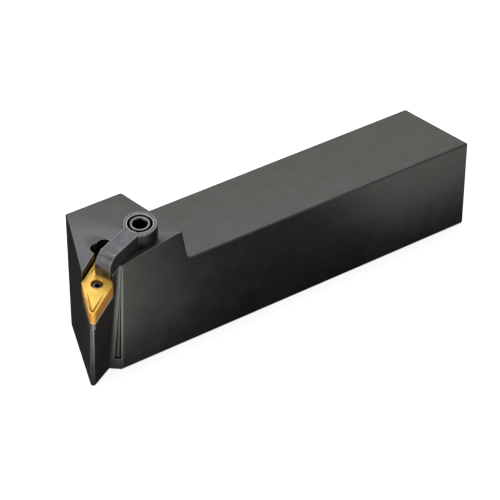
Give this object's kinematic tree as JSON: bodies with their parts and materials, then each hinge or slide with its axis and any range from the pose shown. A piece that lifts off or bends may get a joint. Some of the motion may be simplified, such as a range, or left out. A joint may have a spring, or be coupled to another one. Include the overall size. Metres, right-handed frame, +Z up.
{
  "type": "turning tool holder",
  "caption": "Right-hand external turning tool holder: square shank, raised head, clamped rhombic cutting insert on a shim, hex-socket clamp stud and lock pin.",
  "frame": {"origin": "back end of the shank, at mid-width, on the plane of its base", "axes": "+X along the shank towards the cutting nose, +Y towards the side that the nose overhangs, +Z up"},
  "size_m": [0.17, 0.0394, 0.0489],
  "materials": {
    "black_oxide_steel": "milled alloy steel with a satin black oxide coating",
    "clamp_steel": "forged and milled steel with a thin black oxide coating",
    "bare_carbide": "ground sintered carbide, bare",
    "nitride_coated_carbide": "sintered carbide with a gold-coloured nitride coating",
    "pin_steel": "turned and hardened steel",
    "stud_steel": "turned and hardened steel, bright on its end"
  },
  "bodies": {
    "holder": {"holder_body": "black_oxide_steel", "shim": "bare_carbide", "insert": "nitride_coated_carbide"},
    "clamp": {"clamp": "clamp_steel"},
    "stud": {"clamp_stud": "stud_steel"},
    "pin": {"lock_pin": "pin_steel"}
  },
  "joints": [
    {"name": "clamp_lift", "type": "slide", "parent": "holder", "child": "clamp", "axis": [0.1651, 0.1651, 0.9724], "range_m": [0, 0.004]},
    {"name": "stud_turn", "type": "hinge", "parent": "clamp", "child": "stud", "pos_m": [0.13948, 0.00914, 0.04233], "axis": [0.1651, 0.1651, 0.9724], "range_deg": [0, 720]},
    {"name": "pin_turn", "type": "hinge", "parent": "holder", "child": "pin", "pos_m": [0.15987, 0.01327, 0.03014], "axis": [0.1651, 0.1651, 0.9724], "range_deg": [0, 360]}
  ],
  "couplings": [
    {"joint": "stud_turn", "follows": "clamp_lift", "rad_per_m": 3141.6}
  ]
}
